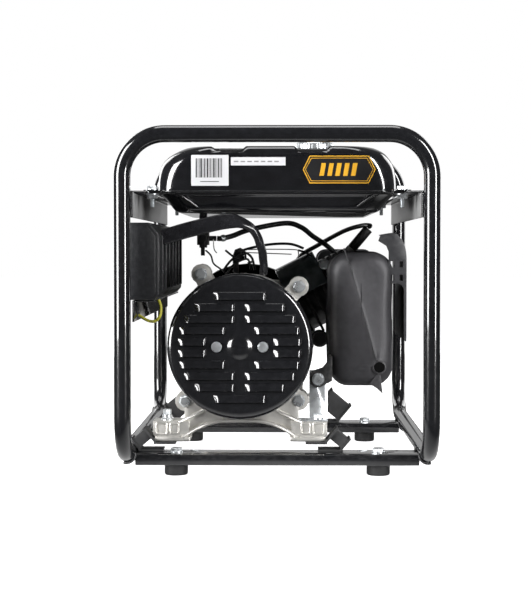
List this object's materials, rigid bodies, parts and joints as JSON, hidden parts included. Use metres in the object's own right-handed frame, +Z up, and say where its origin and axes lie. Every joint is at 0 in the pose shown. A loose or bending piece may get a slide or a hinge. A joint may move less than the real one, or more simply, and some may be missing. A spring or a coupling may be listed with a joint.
{
  "type": "portable generator",
  "caption": "Open-frame portable generator: bent-tube cradle with fuel tank, control box, louvred alternator, inclined-cylinder engine, muffler with guard, on four rubber feet.",
  "frame": {"origin": "on the ground plane under the middle of the frame", "axes": "+Z up, +Y from the alternator end towards the recoil starter end, +X to the right when looking along +Y at the alternator end"},
  "size_m": [0.42, 0.59, 0.46],
  "materials": {
    "frame_paint": "gloss black powder coat",
    "channel_paint": "satin black paint",
    "tank_paint": "gloss black paint",
    "black_plastic": "fine-textured moulded",
    "grey_plastic": "fine-textured moulded",
    "red_plastic": "moulded",
    "rubber": "moulded",
    "cast_aluminium": "as cast",
    "zinc": "bright zinc plate",
    "steel": "machined",
    "lamination": "stacked laminations",
    "exhaust_paint": "matt heat-resistant grey",
    "cable_jacket": "flexible sleeve",
    "earth_jacket": "yellow and green wire"
  },
  "bodies": {
    "frame": {"front_hoop": "frame_paint", "rear_hoop": "frame_paint", "left_rail": "frame_paint", "right_rail": "frame_paint", "front_channel": "channel_paint", "rear_channel": "channel_paint", "left_tank_rail": "frame_paint", "right_tank_rail": "frame_paint", "control_rail": "frame_paint", "foot_front_left": "rubber", "foot_front_right": "rubber", "foot_rear_left": "rubber", "foot_rear_right": "rubber", "isolator_front_left": "rubber", "isolator_front_right": "rubber", "isolator_rear_left": "rubber", "isolator_rear_right": "rubber", "tank_lower_shell": "tank_paint", "tank_upper_shell": "tank_paint", "fuel_tap": "channel_paint", "alternator_end_cover": "tank_paint", "alternator_end_bell": "cast_aluminium", "stator": "lamination", "alternator_adaptor": "cast_aluminium", "crankcase": "cast_aluminium", "cylinder": "cast_aluminium", "cylinder_head": "cast_aluminium", "valve_cover": "channel_paint", "cylinder_shroud": "tank_paint", "spark_plug": "steel", "spark_plug_boot": "rubber", "carburettor": "cast_aluminium", "air_filter_base": "black_plastic", "fan_housing": "tank_paint", "recoil_cover": "tank_paint", "muffler": "exhaust_paint", "muffler_guard": "exhaust_paint", "muffler_bracket": "zinc", "muffler_arm": "channel_paint", "control_box": "black_plastic", "control_panel": "grey_plastic", "output_sleeve": "cable_jacket", "fuel_hose": "cable_jacket", "spark_lead": "cable_jacket", "earth_wire": "earth_jacket"},
    "rotor": {"rotor_core": "lamination", "cooling_fan": "grey_plastic", "crankshaft": "steel", "flywheel": "cast_aluminium"},
    "piston_body": {"piston": "cast_aluminium"},
    "fuel_cap_body": {"fuel_cap": "zinc"},
    "tap_lever_body": {"tap_lever": "black_plastic"},
    "choke_lever_body": {"choke_lever": "grey_plastic"},
    "engine_switch_body": {"engine_switch": "red_plastic"},
    "breaker_button_body": {"breaker_button": "red_plastic"},
    "socket_lid_1_body": {"socket_lid_1": "black_plastic"},
    "socket_lid_2_body": {"socket_lid_2": "black_plastic"},
    "recoil_handle_body": {"recoil_handle": "rubber"},
    "air_filter_cover_body": {"air_filter_cover": "black_plastic"},
    "oil_dipstick_body": {"oil_dipstick": "grey_plastic"}
  },
  "joints": [
    {"name": "rotor_spin", "type": "hinge", "parent": "frame", "child": "rotor", "pos_m": [-0.05, 0, 0.171], "axis": [0, 1, 0], "continuous": true},
    {"name": "piston_stroke", "type": "slide", "parent": "frame", "child": "piston_body", "axis": [0.891, 0, 0.454], "range_m": [-0.022, 0.022]},
    {"name": "fuel_cap_lift", "type": "slide", "parent": "frame", "child": "fuel_cap_body", "axis": [0, 0, 1], "range_m": [0, 0.06]},
    {"name": "fuel_tap_turn", "type": "hinge", "parent": "frame", "child": "tap_lever_body", "pos_m": [-0.114, 0.045, 0.318], "axis": [0, 1, 0], "range_deg": [0, 90]},
    {"name": "choke_turn", "type": "hinge", "parent": "frame", "child": "choke_lever_body", "pos_m": [0.09434, 0.184, 0.24455], "axis": [-0.454, 0, 0.891], "range_deg": [0, 60]},
    {"name": "engine_switch_rock", "type": "hinge", "parent": "frame", "child": "engine_switch_body", "pos_m": [-0.204, 0.088, 0.288], "axis": [0, 1, 0], "range_deg": [-14, 0]},
    {"name": "breaker_press", "type": "slide", "parent": "frame", "child": "breaker_button_body", "axis": [1, 0, 0], "range_m": [0, 0.003], "stiffness_N_per_m": 300},
    {"name": "socket_lid_1_open", "type": "hinge", "parent": "frame", "child": "socket_lid_1_body", "pos_m": [-0.2078, -0.19, 0.313], "axis": [0, 1, 0], "range_deg": [0, 110], "stiffness_Nm_per_rad": 0.02},
    {"name": "socket_lid_2_open", "type": "hinge", "parent": "frame", "child": "socket_lid_2_body", "pos_m": [-0.2078, -0.115, 0.313], "axis": [0, 1, 0], "range_deg": [0, 110], "stiffness_Nm_per_rad": 0.02},
    {"name": "recoil_pull", "type": "slide", "parent": "frame", "child": "recoil_handle_body", "axis": [0, 1, 0], "range_m": [0, 0.35], "stiffness_N_per_m": 30},
    {"name": "filter_cover_remove", "type": "slide", "parent": "frame", "child": "air_filter_cover_body", "axis": [0, 1, 0], "range_m": [0, 0.06]},
    {"name": "dipstick_draw", "type": "slide", "parent": "frame", "child": "oil_dipstick_body", "axis": [-1, 0, 0], "range_m": [0, 0.06]}
  ]
}
